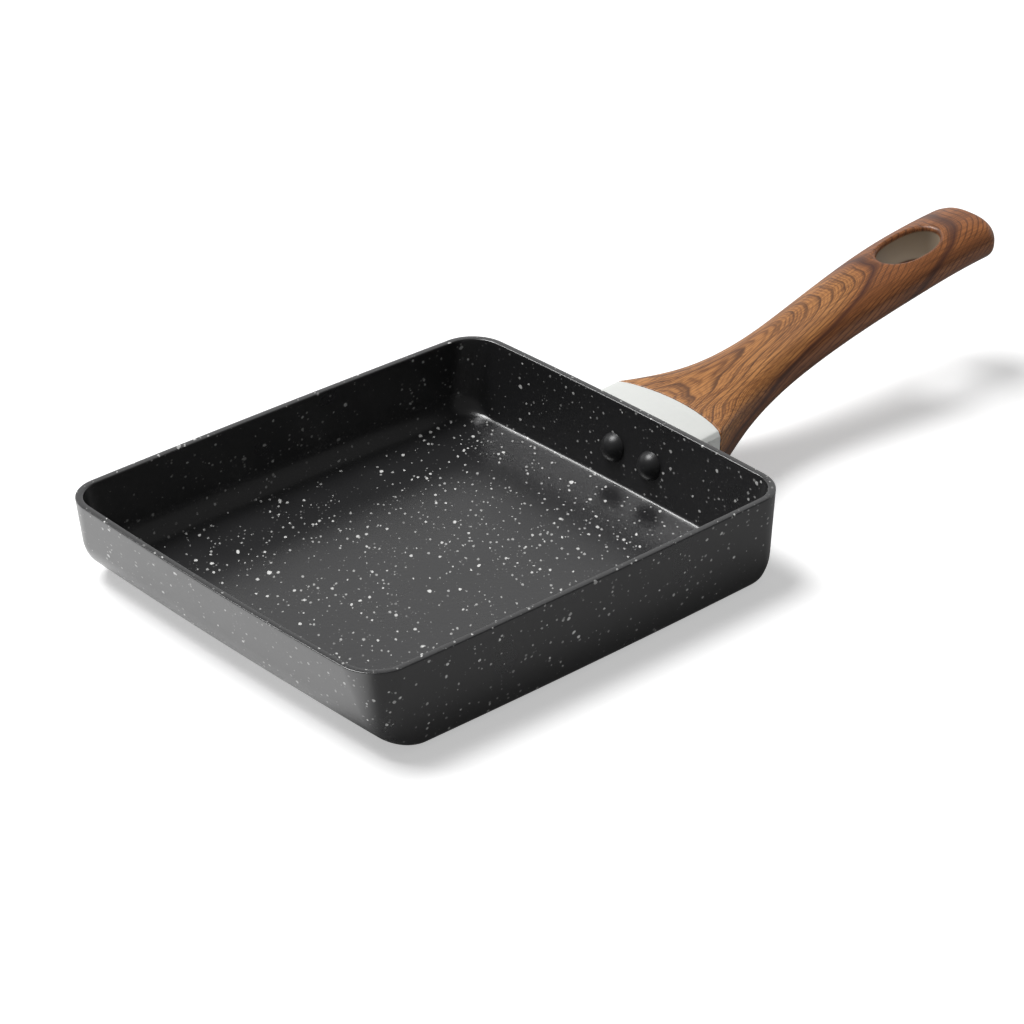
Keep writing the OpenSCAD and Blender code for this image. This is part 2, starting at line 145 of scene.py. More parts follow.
def cut_away(piece, cutters, sharp=40):
    """Takes closed solids away from a closed piece and keeps the result as its own mesh."""
    for cutter in cutters:
        step = piece.modifiers.new("cut", "BOOLEAN")
        step.operation, step.solver, step.object = "DIFFERENCE", "EXACT", cutter
    shape = piece.evaluated_get(bpy.context.evaluated_depsgraph_get())
    mesh = bpy.data.meshes.new_from_object(shape)
    piece.modifiers.clear()
    piece.data = mesh
    mesh.shade_smooth()
    mesh.set_sharp_from_angle(angle=math.radians(sharp))
    for cutter in cutters:
        bpy.data.objects.remove(cutter)


wall_tilt = math.atan(rear_lean / rim_h)
foot_top = floor_z + inner_feet[1] * (1 - math.sin(wall_tilt))
rivet_z = foot_top + rivet_lift + head_r - wall_t * math.sin(wall_tilt)
wall_x = (rim_l / 2 + end_bow * (1 - (handle_y / (rim_w / 2 - corner_rim_r)) ** 2)
          - rear_lean * (rim_h - rivet_z) / rim_h)
wall_out = np.array([math.cos(wall_tilt), 0, -math.sin(wall_tilt)])
rivet_points = [np.array([wall_x, handle_y + s * rivet_pitch / 2, rivet_z]) for s in (1, -1)]

foot = np.radians(np.arange(0, 82, 1.5))
quarter = np.radians(np.arange(0, 91, 15))
outer_z = plate_t + outer_feet[0] * (1 - np.cos(foot))
inner_z = floor_z + inner_feet[0] * (1 - np.cos(foot))
straight_z = rim_h - 6
outer_z, inner_z = [np.append(z[z < straight_z], np.linspace(straight_z, rim_h - rim_edge, 6))
                    for z in (outer_z, inner_z)]
body_rings = np.concatenate([
    side_of_pan(outer_z, plate_t, outer_feet, 0, (corner_base_r, corner_rim_r), 0),
    side_of_pan(rim_h - rim_edge * (1 - np.sin(quarter)), plate_t, outer_feet, 0,
                (corner_base_r, corner_rim_r), rim_edge * (1 - np.cos(quarter))),
    side_of_pan(rim_h - rim_edge * (1 - np.cos(quarter)), floor_z, inner_feet, wall_t,
                (corner_floor_r, corner_rim_r - wall_t), -rim_edge * (1 - np.sin(quarter))),
    side_of_pan(inner_z[::-1], floor_z, inner_feet, wall_t, (corner_floor_r, corner_rim_r - wall_t), 0)])
pan_body = lofted("pan_body", body_rings, 60)
bore = [(rivet_hole_r, -6), (rivet_hole_r, 3)]
cut_away(pan_body, [lofted("cutter", turned(bore, point, wall_out)) for point in rivet_points], 60)
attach(pan_body, "root")
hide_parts("pan_shell")


def add(tree, kind, inputs=None, **settings):
    """A shader node with its settings, and each input either linked or set."""
    made = tree.nodes.new("ShaderNode" + kind)
    for key, value in settings.items():
        setattr(made, key, value)
    for key, value in (inputs or {}).items():
        if isinstance(value, bpy.types.NodeSocket):
            tree.links.new(value, made.inputs[key])
        else:
            made.inputs[key].default_value = value
    return made


def calc(tree, operation, *values):
    """The output of a Math node over two or three values."""
    return add(tree, "Math", dict(enumerate(values)), operation=operation).outputs[0]


def ease(tree, value, start, end, low=0.0, high=1.0):
    """A value that turns smoothly from low to high while the given one runs from start to end."""
    sockets = {"Value": value, "From Min": start, "From Max": end, "To Min": low, "To Max": high}
    return add(tree, "MapRange", sockets, interpolation_type="SMOOTHSTEP").outputs["Result"]


def blend(tree, factor, first, second):
    """The colour that lies between two others."""
    return add(tree, "Mix", {0: factor, 6: first, 7: second}, data_type="RGBA").outputs[2]


def new_group(name, inputs, outputs):
    """A shader node group with named sockets, and its input and output nodes."""
    group = bpy.data.node_groups.new(name, "ShaderNodeTree")
    for key, (kind, value) in inputs.items():
        socket = group.interface.new_socket(key, in_out="INPUT", socket_type="NodeSocket" + kind)
        if value is not None:
            socket.default_value = value
    for key, kind in outputs.items():
        group.interface.new_socket(key, in_out="OUTPUT", socket_type="NodeSocket" + kind)
    return group, group.nodes.new("NodeGroupInput").outputs, group.nodes.new("NodeGroupOutput").inputs


def use_group(tree, group, inputs):
    """A node group placed in a material, with its own values."""
    made = tree.nodes.new("ShaderNodeGroup")
    made.node_tree = group
    for key, value in inputs.items():
        if isinstance(value, bpy.types.NodeSocket):
            tree.links.new(value, made.inputs[key])
        else:
            made.inputs[key].default_value = value
    return made.outputs


def new_material(name):
    """A material with an empty Principled shader, its node tree, and that shader's inputs."""
    material = bpy.data.materials.new(name)
    material.use_nodes = True
    tree = material.node_tree
    return material, tree, tree.nodes["Principled BSDF"].inputs


def scaled(tree, place, size):
    """A place in steps of the given size."""
    per_step = calc(tree, "DIVIDE", 1.0, size)
    return add(tree, "VectorMath", {0: place, "Scale": per_step}, operation="SCALE").outputs[0]


def dress(tree, shader, colour, film):
    """Joins a colour, and a film's roughness and normal, to the shader."""
    tree.links.new(colour, shader["Base Color"])
    tree.links.new(film["Roughness"], shader["Roughness"])
    tree.links.new(film["Normal"], shader["Normal"])


def paint(piece, material):
    """Gives the whole piece one material."""
    piece.data.materials.clear()
    piece.data.materials.append(material)


# Specks: one random point in each cell, of which a share shows as a small irregular disc
specks, given, out = new_group(
    "specks", {"Place": ("Vector", None), "Cell": ("Float", 0.002), "Share": ("Float", 0.3),
               "Radius": ("Float", 0.2)}, {"Mask": "Float"})
g = specks
cells = scaled(g, given["Place"], given["Cell"])
wobble = add(g, "TexNoise", {"Vector": cells, "Scale": 2.6, "Detail": 1.0}).outputs["Color"]
shifted = add(g, "VectorMath", {0: wobble, 1: (0.22, 0.22, 0.22), 2: cells},
              operation="MULTIPLY_ADD").outputs[0]
voronoi = add(g, "TexVoronoi", {"Vector": shifted, "Scale": 1.0}).outputs
chance = add(g, "SeparateColor", {0: voronoi["Color"]}).outputs
clouds = add(g, "TexNoise", {"Vector": cells, "Scale": 0.16, "Detail": 1.0}).outputs[0]
crowding = ease(g, clouds, 0.36, 0.62, 0.35, 1.5)
shown = calc(g, "LESS_THAN", chance[0], calc(g, "MULTIPLY", given["Share"], crowding))
size = calc(g, "MULTIPLY", given["Radius"], calc(g, "MULTIPLY_ADD", chance[1], 0.7, 0.3))
disc = ease(g, calc(g, "DIVIDE", voronoi["Distance"], size), 0.65, 1.05, 1.0, 0.0)
strength = calc(g, "MULTIPLY_ADD", chance[2], 0.6, 0.4)
g.links.new(calc(g, "MULTIPLY", calc(g, "MULTIPLY", disc, shown), strength), out["Mask"])

# Satin: the fine orange peel of a sprayed or cast surface, as roughness and as a normal
satin, given, out = new_group(
    "satin", {"Place": ("Vector", None), "Grain": ("Float", 0.001), "Roughness": ("Float", 0.4),
              "Spread": ("Float", 0.1), "Height": ("Float", 0.00002)},
    {"Roughness": "Float", "Normal": "Vector"})
g = satin
grains = scaled(g, given["Place"], given["Grain"])
peel = add(g, "TexNoise", {"Vector": grains, "Scale": 1.0, "Detail": 3.0}).outputs[0]
patches = add(g, "TexNoise", {"Vector": grains, "Scale": 0.045, "Detail": 2.0}).outputs[0]
uneven = calc(g, "SUBTRACT", patches, 0.5)
g.links.new(calc(g, "MULTIPLY_ADD", uneven, given["Spread"], given["Roughness"]), out["Roughness"])
g.links.new(add(g, "Bump", {"Height": peel, "Distance": given["Height"]}).outputs[0], out["Normal"])

coating, tree, shader = new_material("speckled_coating")
place = add(tree, "TexCoord").outputs["Object"]
facing = add(tree, "SeparateXYZ", {0: add(tree, "NewGeometry").outputs["Normal"]}).outputs[2]
on_floor = ease(tree, facing, 0.8, 0.97, 0.7, 1.0)
drawn = add(tree, "Mapping", {"Vector": place, "Rotation": (0, 0, 0.8), "Scale": (1.6, 1.0, 1.0)},
            vector_type="TEXTURE").outputs[0]
mask = 0.0
for cell, share, radius, level in ((0.0012, 0.45, 0.28, 0.16), (0.0018, 0.62, 0.30, 0.50),
                                   (0.0030, 0.80, 0.22, 0.90), (0.0064, 0.9, 0.14, 1.0)):
    layer = use_group(tree, specks, {"Place": drawn, "Cell": cell, "Radius": radius,
                                     "Share": calc(tree, "MULTIPLY", share, on_floor)})
    mask = calc(tree, "MAXIMUM", mask, calc(tree, "MULTIPLY", layer["Mask"], level))
film = use_group(tree, satin, {"Place": place, "Grain": 0.0011, "Roughness": 0.29, "Spread": 0.12,
                               "Height": 0.00002})
dress(tree, shader, blend(tree, mask, (0.015, 0.015, 0.016, 1), (0.90, 0.90, 0.88, 1)), film)
shader["IOR"].default_value = 1.6
shader["Specular IOR Level"].default_value = 1.0
paint(pan_body, coating)

# The base plate is a thin sheet of magnetic stainless steel, brushed and pressed onto the
# underside, so that the aluminium pan also works on an induction hob.
base_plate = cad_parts["base_plate"]
brushed, given, out = new_group(
    "brushed", {"Place": ("Vector", None), "Line": ("Float", 0.0004), "Roughness": ("Float", 0.3),
                "Spread": ("Float", 0.15), "Height": ("Float", 0.00001)},
    {"Roughness": "Float", "Normal": "Vector", "Tone": "Float"})
g = brushed
long_way = add(g, "Mapping", {"Vector": given["Place"], "Scale": (0.02, 1.0, 1.0)}).outputs[0]
lines = scaled(g, long_way, given["Line"])
streak = add(g, "TexNoise", {"Vector": lines, "Scale": 1.0, "Detail": 4.0}).outputs[0]
g.links.new(streak, out["Tone"])
uneven = calc(g, "SUBTRACT", streak, 0.5)
g.links.new(calc(g, "MULTIPLY_ADD", uneven, given["Spread"], given["Roughness"]), out["Roughness"])
g.links.new(add(g, "Bump", {"Height": streak, "Distance": given["Height"]}).outputs[0], out["Normal"])


def metal(name, dark, light, roughness, line):
    """A brushed metal whose lines run along X, between two tones."""
    made, tree, shader = new_material(name)
    place = add(tree, "TexCoord").outputs["Object"]
    lines = use_group(tree, brushed, {"Place": place, "Line": line, "Roughness": roughness})
    dress(tree, shader, blend(tree, lines["Tone"], dark + (1,), light + (1,)), lines)
    shader["Metallic"].default_value = 1.0
    return made


paint(base_plate, metal("brushed_base", (0.42, 0.42, 0.43), (0.66, 0.66, 0.66), 0.32, 0.0004))

# Two aluminium rivets hold the handle's bracket. Their domed heads inside the pan carry the
# plain black coating, and their tails are formed flat against the bracket's pad.
head_h, shank_r, tail_r, tail_h = 3.6, 2.5, 3.7, 1.4
seat, back = -2.6, 3.6
dome_r = (head_r ** 2 + head_h ** 2) / (2 * head_h)
dome = np.linspace(0, math.asin(head_r / dome_r) - 0.03, 28)
rivet_profile = np.concatenate([
    np.stack([dome_r * np.sin(dome), seat - head_h + dome_r * (1 - np.cos(dome))], -1),
    [(head_r, seat), (shank_r, seat), (shank_r, back), (tail_r - 0.2, back), (tail_r, back + 0.2),
     (tail_r, back + tail_h - 0.3), (tail_r - 0.3, back + tail_h), (0, back + tail_h)]])
black, tree, shader = new_material("black_rivet")
place = add(tree, "TexCoord").outputs["Object"]
film = use_group(tree, satin, {"Place": place, "Grain": 0.0009, "Roughness": 0.36, "Spread": 0.1,
                               "Height": 0.000012})
tint = add(tree, "TexNoise", {"Vector": place, "Scale": 260.0, "Detail": 2.0}).outputs[0]
dress(tree, shader, blend(tree, tint, (0.016, 0.016, 0.017, 1), (0.026, 0.026, 0.027, 1)), film)
for node_name, point in zip(("rivet_left", "rivet_right"), rivet_points):
    rings = turned(rivet_profile, point, wall_out)
    rivet = make_piece(node_name.replace("rivet", "domed_rivet"), rings, grid_faces(*rings.shape[:2]), 45)
    paint(rivet, black)
    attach(rivet, "root")
    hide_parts(node_name)

# The bracket is cast aluminium: a pad behind the rear wall, a narrow neck that passes between
# the rivets, and a flat tang that runs into the grip.
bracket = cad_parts["handle_bracket"]
paint(bracket, metal("cast_bracket", (0.40, 0.40, 0.41), (0.55, 0.55, 0.56), 0.5, 0.0012))

# The collar is a satin silver guard, die cast, that slides over the bracket before it is
# riveted. It keeps the hob's heat from the grip, and is bevelled along its upper side edges.
collar_l, collar_half_w, joint_bow = 12.4, 25.0, 4.0
collar_fall, collar_bevel, collar_skin = 0.8, 1.5, 1.4
wall_gap, socket_gap, joint_gap = 0.3, 0.3, 0.15
collar_edge, grip_edge, grip_drop = 0.35, 0.4, 10.3
pad_t, pad_w, pad_h = 3.2, 33.0, 11.5
neck_root, neck_inset, tail_room = 2.0, 0.5, 0.9
tang_l, tang_w, tang_h, tang_lift = 46.0, 12.0, 8.0, 2.3
front_half_h, end_half_h, crown = 8.3, 7.3, 1.1
grip_l, waist_l, steep_l = 154.77, 57.6, 62.5
waist_half_w, swell_half_w = 12.3, 14.6
end_round, edge_round = 8.0, 4.2
hole_back = 35.07
joint_x = rim_l / 2 + collar_l
grip_end = joint_x + grip_l
swell_x = grip_end - hole_back
waist_x, steep_x = joint_x + waist_l, joint_x + steep_l
grip_z = rim_h - grip_drop
mid_rise, end_rise = 12.7, 27.695
joint_r = (collar_half_w ** 2 + joint_bow ** 2) / (2 * joint_bow)
joint_centre = joint_x + joint_bow - joint_r


def smooth(t):
    """Three t squared less two t cubed, held to 0 and 1 outside."""
    u = np.clip(t, 0, 1)
    return u * u * (3 - 2 * u)


def cubic(t, length, a, s, b, e):
    """Cubic from height a with slope s to height b with slope e over a length."""
    return a * (1 - smooth(t)) + b * smooth(t) + length * (s * t * (1 - t) ** 2 - e * t * t * (1 - t))


def mid_z(x):
    """Height of the grip's middle line: level in the collar, steepest at steep_x, flat at the end."""
    first = cubic(np.clip((x - joint_x) / steep_l, 0, 1), steep_l, grip_z, 0.06, grip_z + mid_rise, 0.27)
    rest = grip_end - steep_x
    second = cubic(np.clip((x - steep_x) / rest, 0, 1), rest,
                   grip_z + mid_rise, 0.27, grip_z + end_rise, 0.02)
    return np.where(x < joint_x, grip_z, np.where(x < steep_x, first, second))


def half_w(x):
    """Half width of the handle: it draws in from the collar to the waist, swells to the hole, and
    closes at the end as a superellipse of power 2.2."""
    drawn = cubic(np.clip((x - joint_x) / waist_l, 0, 1), waist_l, collar_half_w, -0.43, waist_half_w, 0)
    swollen = waist_half_w + (swell_half_w - waist_half_w) * smooth((x - waist_x) / (swell_x - waist_x))
    plain = np.where(x < joint_x, collar_half_w, np.where(x < waist_x, drawn, swollen))
    u = np.clip((x - grip_end + end_round) / end_round, 0, 1)
    return plain * np.maximum(0, 1 - u ** 2.2) ** (1 / 2.2)


def plain_half_h(x):
    """Half height, which falls evenly from the joint to the end."""
    return front_half_h + (end_half_h - front_half_h) * np.maximum(0, x - joint_x) / grip_l


def half_h(x):
    """The same, closed at the end as a quarter of an ellipse."""
    u = np.clip((x - grip_end + edge_round) / edge_round, 0, 1)
    return plain_half_h(x) * np.sqrt(np.maximum(0, 1 - u * u))


def fade(x):
    """One at the joint, and falling by e every 9 mm past it."""
    return np.exp(-np.maximum(0, x - joint_x) / 9)


def section(x, w, low, high, top, turn):
    """Point of a superellipse at an angle, in polar form, so that its flats and corners are
    sampled evenly. Its power falls from 17.5 at the joint to 2.5, and top crowns its upper half."""
    p = 2.5 + 15 * fade(x)
    c, s = np.cos(turn), np.sin(turn)
    r = (np.abs(c) ** p + np.abs(s) ** p) ** (-1 / p)
    z = (low + high) / 2 + (high - low) / 2 * r * s
    return w * r * c, z + np.where(s > 0, top * (1 - (r * c) ** 2), 0)


def turns(count):
    """Angles round a section, closer together at its corners."""
    u = np.linspace(0, 2 * math.pi, count, endpoint=False)
    return u + 0.15 * np.sin(4 * u)


def rounded_edge(gap, r):
    """How far a section draws in at a distance gap from an end with an edge radius r."""
    u = np.clip(1 - gap / r, 0, 1)
    return r * (1 - np.sqrt(1 - u * u))


def joint_x_at(y, gap):
    """X of the upright cylinder between collar and grip, grown by a gap."""
    return joint_centre + np.sqrt((joint_r + gap) ** 2 - (y - handle_y) ** 2)


def wall_x_at(z):
    """X of the collar's flat face against the rear wall, a gap away from it."""
    return wall_x + (wall_gap + (z - rivet_z) * math.sin(wall_tilt)) / math.cos(wall_tilt)


def end_cap(ring, face_x, rows=12):
    """Rings that shrink from a section towards its middle, on the surface x = face_x(y, z)."""
    k = np.linspace(1, 0, rows + 1)[1:, None]
    y = handle_y + k * (ring[:, 1] - handle_y)
    z = ring[:, 2].mean() + k * (ring[:, 2] - ring[:, 2].mean())
    return np.stack([face_x(y, z), y, z], -1)


def box_cutter(name, low, high, origin=(0, 0, 0), tilt=0.0):
    """A block between two corners, turned about Y by a tilt at an origin, for cutting sockets."""
    (x0, y0, z0), (x1, y1, z1) = low, high
    plan = ((x0, y0), (x1, y0), (x1, y1), (x0, y1))
    corners = np.array([[a, b, c] for c in (z0, z1) for a, b in plan], float)
    c, s = math.cos(tilt), math.sin(tilt)
    turned_x = corners[:, 0] * c - corners[:, 2] * s
    turned_z = corners[:, 0] * s + corners[:, 2] * c
    points = np.stack([turned_x, corners[:, 1], turned_z], -1) + np.array(origin)
    return lofted(name, points.reshape(2, 4, 3))


tang_tilt = math.radians(7.5)
tang_start = joint_x - collar_l / 2
tang_z = grip_z + tang_lift + (tang_start - joint_x) * math.tan(tang_tilt)


def tang_cutter():
    """Room for the tang, clear of it by the socket's gap on every side."""
    side, rise = tang_w / 2 + socket_gap, tang_h / 2 + socket_gap
    return box_cutter("tang_room", (-socket_gap, -side, -rise),
                      (tang_l + collar_l / 2 + socket_gap, side, rise),
                      (tang_start, handle_y, tang_z), tang_tilt)


around = turns(208)
along = np.linspace(0, 1, 27)[:, None]
collar_low = rivet_z - pad_h / 2 - socket_gap - collar_skin
seat_depth = pad_t + tail_h + 3 * socket_gap
level_x = wall_x + seat_depth


def collar_point(x):
    """Ring of the collar at x: the grip's own section at the joint, sloping down to the wall, level
    below the bracket's pad, with the corners beyond the bevel's plane drawn in to it."""
    t = np.maximum(0, joint_x - x) / (joint_x - wall_x)
    low = mid_z(x) - plain_half_h(x)
    rise = np.minimum(1, np.maximum(0, joint_x - x) / (joint_x - level_x))
    y, z = section(x, half_w(x), low + (collar_low - low) * rise,
                   mid_z(x) + plain_half_h(x) - collar_fall * t, crown * fade(x), around)
    top = mid_z(x) + plain_half_h(x) - collar_fall * t
    centre = mid_z(x)
    reach = half_w(x) + (top - centre) - collar_bevel
    over = (np.abs(y) + (z - centre)) / reach
    k = np.where((z > centre) & (over > 1), over, 1)
    return y / k, centre + (z - centre) / k


# Where a ring lies depends on its own y and z through the two end faces, so it is found in passes
x = np.broadcast_to(wall_x + along * (joint_x - wall_x), (len(along), len(around))).copy()
for _ in range(4):
    y, z = collar_point(x)
    start, end = wall_x_at(z), joint_x_at(y + handle_y, 0)
    x = start + along * (end - start)
gap = np.minimum(x - start, end - x)
draw = rounded_edge(gap, collar_edge)
middle = (z.max(1, keepdims=True) + z.min(1, keepdims=True)) / 2
y = y - np.sign(y) * np.minimum(np.abs(y), draw)
z = z - np.sign(z - middle) * np.minimum(np.abs(z - middle), draw)
collar_rings = np.stack([x, y + handle_y, z], -1)
front_cap = end_cap(collar_rings[0], lambda y, z: wall_x_at(z))[::-1]
rear_cap = end_cap(collar_rings[-1], lambda y, z: joint_x_at(y, 0))
collar_rings = np.concatenate([front_cap, collar_rings, rear_cap])
collar = make_piece("cast_collar", collar_rings, grid_faces(*collar_rings.shape[:2])[:, ::-1], 28)
pad = np.array([wall_x, handle_y, rivet_z])
seat_w, seat_h = pad_w / 2 + socket_gap, pad_h / 2 + socket_gap
pad_room = box_cutter("pad_room", (-2, -seat_w, -seat_h), (seat_depth, seat_w, seat_h), pad, -wall_tilt)
neck_half = (rivet_pitch - 2 * tail_r - 2 * tail_room) / 2 + socket_gap
neck_start, neck_bend, neck_end = pad_t / 2, pad_t + neck_root, joint_x - collar_l / 3 + socket_gap
neck_rise = pad_h / 2 - neck_inset + socket_gap
tang_rise = tang_h / 2 + socket_gap
tang_mid = grip_z + tang_lift - collar_l / 3 * math.tan(tang_tilt)
neck_side = [(wall_x + neck_start, rivet_z - neck_rise), (wall_x + neck_bend, rivet_z - neck_rise),
             (neck_end, tang_mid - tang_rise), (neck_end, tang_mid + tang_rise),
             (wall_x + neck_bend, rivet_z + neck_rise), (wall_x + neck_start, rivet_z + neck_rise)]
neck_room = lofted("neck_room", np.array([[(a, handle_y + side * neck_half, b) for a, b in neck_side]
                                          for side in (1, -1)]))
cut_away(collar, [pad_room, neck_room, tang_cutter()], 28)
silver, tree, shader = new_material("satin_silver")
place = add(tree, "TexCoord").outputs["Object"]
film = use_group(tree, satin, {"Place": place, "Grain": 0.0006, "Roughness": 0.42, "Spread": 0.1,
                               "Height": 0.000008})
tint = add(tree, "TexNoise", {"Vector": place, "Scale": 420.0, "Detail": 3.0}).outputs[0]
dress(tree, shader, blend(tree, tint, (0.88, 0.90, 0.87, 1), (0.93, 0.94, 0.91, 1)), film)
shader["Metallic"].default_value = 0.35
paint(collar, silver)
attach(collar, "root")
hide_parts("collar")

# The grip is moulded phenolic plastic, dipped in a wood-figured film and lacquered. An oval
# hole with a soft lip hangs it up, and a well under it holds the screw that clamps the tang.
hole_l, hole_w, lip_r = 28.0, 15.5, 1.6
screw_x = joint_x + 27.6
station = np.concatenate([
    np.linspace(0, 1, 90) ** 1.25 * (grip_end - end_round - joint_x),
    grip_end - joint_x - end_round + (end_round - edge_round) * np.sin(np.radians(np.arange(6, 90, 6))),
    grip_end - joint_x - edge_round * (1 - np.sin(np.radians(np.arange(0, 91, 5))))])
edges = np.array([0, 0.03, 0.08, 0.15, 0.25, grip_edge])
station = np.concatenate([edges, station[station > 0.6]])[:, None]


def grip_section(x, turn):
    """Ring of the grip at x."""
    return section(x, half_w(x), mid_z(x) - half_h(x), mid_z(x) + half_h(x),
                   crown * fade(x) * half_h(x) / plain_half_h(x), turn)


x = np.broadcast_to(joint_x + station, (len(station), len(around))).copy()
for _ in range(4):
    y, z = grip_section(x, around)
    start = joint_x_at(y + handle_y, joint_gap)
    x = start + station * (grip_end - start) / (grip_end - joint_x)
draw = rounded_edge(np.broadcast_to(station, x.shape), grip_edge)
middle = mid_z(x)
y = y - np.sign(y) * np.minimum(np.abs(y), draw)
z = z - np.sign(z - middle) * np.minimum(np.abs(z - middle), draw)
grip_rings = np.stack([x, y + handle_y, z], -1)
joint_cap = end_cap(grip_rings[0], lambda y, z: joint_x_at(y, joint_gap))[::-1]
grip_rings = np.concatenate([joint_cap, grip_rings])
grip = make_piece("wood_look_grip", grip_rings, grid_faces(*grip_rings.shape[:2])[:, ::-1], 50)

slope = math.atan(float(mid_z(swell_x + 1) - mid_z(swell_x - 1)) / 2)
oval = np.linspace(0, 2 * math.pi, 128, endpoint=False)


def surface_z(x, y, side):
    """Height of the grip's upper or lower surface over a point of the plan."""
    p = 2.5 + 15 * fade(x)
    rest = np.maximum(0, 1 - (np.abs(y) / half_w(x)) ** p) ** (1 / p)
    return mid_z(x) + side * half_h(x) * rest + (side > 0) * crown * fade(x) * (1 - (y / half_w(x)) ** 2)


def hole_ring(out, depth, side):
    """Ring of the hole's wall: the oval grown by a distance out, and carried along the hole to a
    depth under the surface there."""
    c, s = np.cos(oval), np.sin(oval)
    power = 2 / 2.2
    a = hole_l / 2 * np.sign(c) * np.abs(c) ** power
    b = hole_w / 2 * np.sign(s) * np.abs(s) ** power
    na, nb = np.gradient(b), -np.gradient(a)
    size = np.hypot(na, nb)
    a, b = a + out * na / size, b + out * nb / size
    up = np.zeros_like(a)
    for _ in range(6):
        x = swell_x + a * math.cos(slope) - up * math.sin(slope)
        up = (surface_z(x, b, side) - mid_z(swell_x) - a * math.sin(slope)) / math.cos(slope) - side * depth
    x = swell_x + a * math.cos(slope) - up * math.sin(slope)
    z = mid_z(swell_x) + a * math.sin(slope) + up * math.cos(slope)
    return np.stack([x, b + handle_y, z], -1)


lip = np.radians(np.arange(0, 79, 6.5))
flare = [(0, 3.4), (0, 2.6), (0, 2.1)]
flare += [(lip_r * (1 - math.cos(a)), lip_r * (1 - math.sin(a))) for a in lip]
tip = (flare[-1][0] + 1.2 * math.sin(lip[-1]), flare[-1][1] - 1.2 * math.cos(lip[-1]) - 0.3)
clear = (tip[0], -8)
hole_rings = np.stack([hole_ring(*pair, -1) for pair in [clear, tip] + flare[::-1]]
                      + [hole_ring(*pair, 1) for pair in flare + [tip, clear]])
washer_z, head_room_r, screw_room_r = 20.93, 4.6, 2.3
well_profile = [(head_room_r, -40), (head_room_r, 0), (screw_room_r, 0), (screw_room_r, 2.9)]
well = turned(well_profile, (screw_x, handle_y, washer_z), (0, 0, 1))
cut_away(grip, [lofted("hanging_hole", hole_rings), lofted("screw_well", well), tang_cutter()], 50)

# The wood figure follows the grip: straight is each point's place once the grip is unbent, and
# rings counts growth rings, which are parabolas across the crest that point to the grip's end.
points = np.empty(len(grip.data.vertices) * 3, np.float32)
grip.data.vertices.foreach_get("co", points)
points = points.reshape(-1, 3).astype(float) / MM
straight = np.stack([points[:, 0] - joint_x, points[:, 1] - handle_y,
                     points[:, 2] - mid_z(points[:, 0])], -1)
straight_place = grip.data.attributes.new("straight", "FLOAT_VECTOR", "POINT")
straight_place.data.foreach_set("vector", (straight * MM).astype(np.float32).ravel())
run, drop = straight[:, 0], np.maximum(0, plain_half_h(points[:, 0]) - straight[:, 2] - 0.8)
off_crest = straight[:, 1] * waist_half_w / np.maximum(8, half_w(points[:, 0]))
off_crest = off_crest - 3 * np.clip(1 - drop / 8, 0, 1)
bowl = (np.sqrt(off_crest ** 2 + 0.5) + 0.9 * drop) ** 2
rings = (bowl + 2.5 * run + 0.0625 * np.maximum(0, run - 50) ** 2) / 40
grip.data.attributes.new("rings", "FLOAT", "POINT").data.foreach_set("value", rings.astype(np.float32))

# Inside the hanging hole the film stops a little below the lip, and bare plastic shows
c, s = math.cos(slope), math.sin(slope)
dx, dz = points[:, 0] - swell_x, points[:, 2] - float(mid_z(swell_x))
a, b, up = dx * c + dz * s, points[:, 1] - handle_y, dz * c - dx * s
inside = (np.abs(a) / (hole_l / 2 + 0.5)) ** 2.2 + (np.abs(b) / (hole_w / 2 + 0.5)) ** 2.2 < 1
depth = np.minimum(surface_z(points[:, 0], b, 1) - points[:, 2],
                   points[:, 2] - surface_z(points[:, 0], b, -1))
bare = np.where(inside, smooth((depth - 1.3) / 0.9), 0)
grip.data.attributes.new("bare", "FLOAT", "POINT").data.foreach_set("value", bare.astype(np.float32))

wood, tree, shader = new_material("wood_look_film")
run = add(tree, "Attribute", attribute_name="straight").outputs["Vector"]
rings = add(tree, "Attribute", attribute_name="rings").outputs["Fac"]
bare_mask = add(tree, "Attribute", attribute_name="bare").outputs["Fac"]


def noise(scale, detail=2.0):
    """Noise over the straightened grip, with its own scale along each axis."""
    stretched = add(tree, "Mapping", {"Vector": run, "Scale": scale}).outputs[0]
    return add(tree, "TexNoise", {"Vector": stretched, "Scale": 1.0, "Detail": detail}).outputs[0]


def between(value, low, high, edge_in, edge_out):
    """One where a value lies between low and high, with soft edges of the given widths."""
    return calc(tree, "MULTIPLY", ease(tree, value, low, low + edge_in),
                ease(tree, value, high, high - edge_out))


def stripes(period, start, peak):
    """Lines along the growth rings: dark from start to peak of each period, then cut off."""
    phase = calc(tree, "FRACT", calc(tree, "DIVIDE", swayed, period))
    return calc(tree, "MULTIPLY", ease(tree, phase, start, peak), ease(tree, phase, 1.0, peak + 0.03))


slow, wavy, fibre = noise((12, 50, 50)), noise((18, 110, 110), 3.0), noise((90, 2200, 2200), 3.0)
patchy = noise((45, 260, 260))
swayed = rings
for wave, reach in ((fibre, 0.22), (wavy, 0.9), (slow, 5.0)):
    swayed = calc(tree, "MULTIPLY_ADD", wave, reach, swayed)
broad = calc(tree, "MULTIPLY", stripes(1.0, 0.58, 0.92), ease(tree, patchy, 0.34, 0.55, 0.35, 1.0))
fine = calc(tree, "MULTIPLY", stripes(0.29, 0.3, 0.8), ease(tree, patchy, 0.62, 0.4, 0.2, 0.8))
far = ease(tree, rings, 7.5, 10.5)
band = calc(tree, "MAXIMUM", between(swayed, 13.0, 14.9, 0.8, 0.8), between(swayed, 24.6, 26.9, 0.8, 0.9))
golden = blend(tree, patchy, (0.32, 0.122, 0.034, 1), (0.68, 0.31, 0.10, 1))
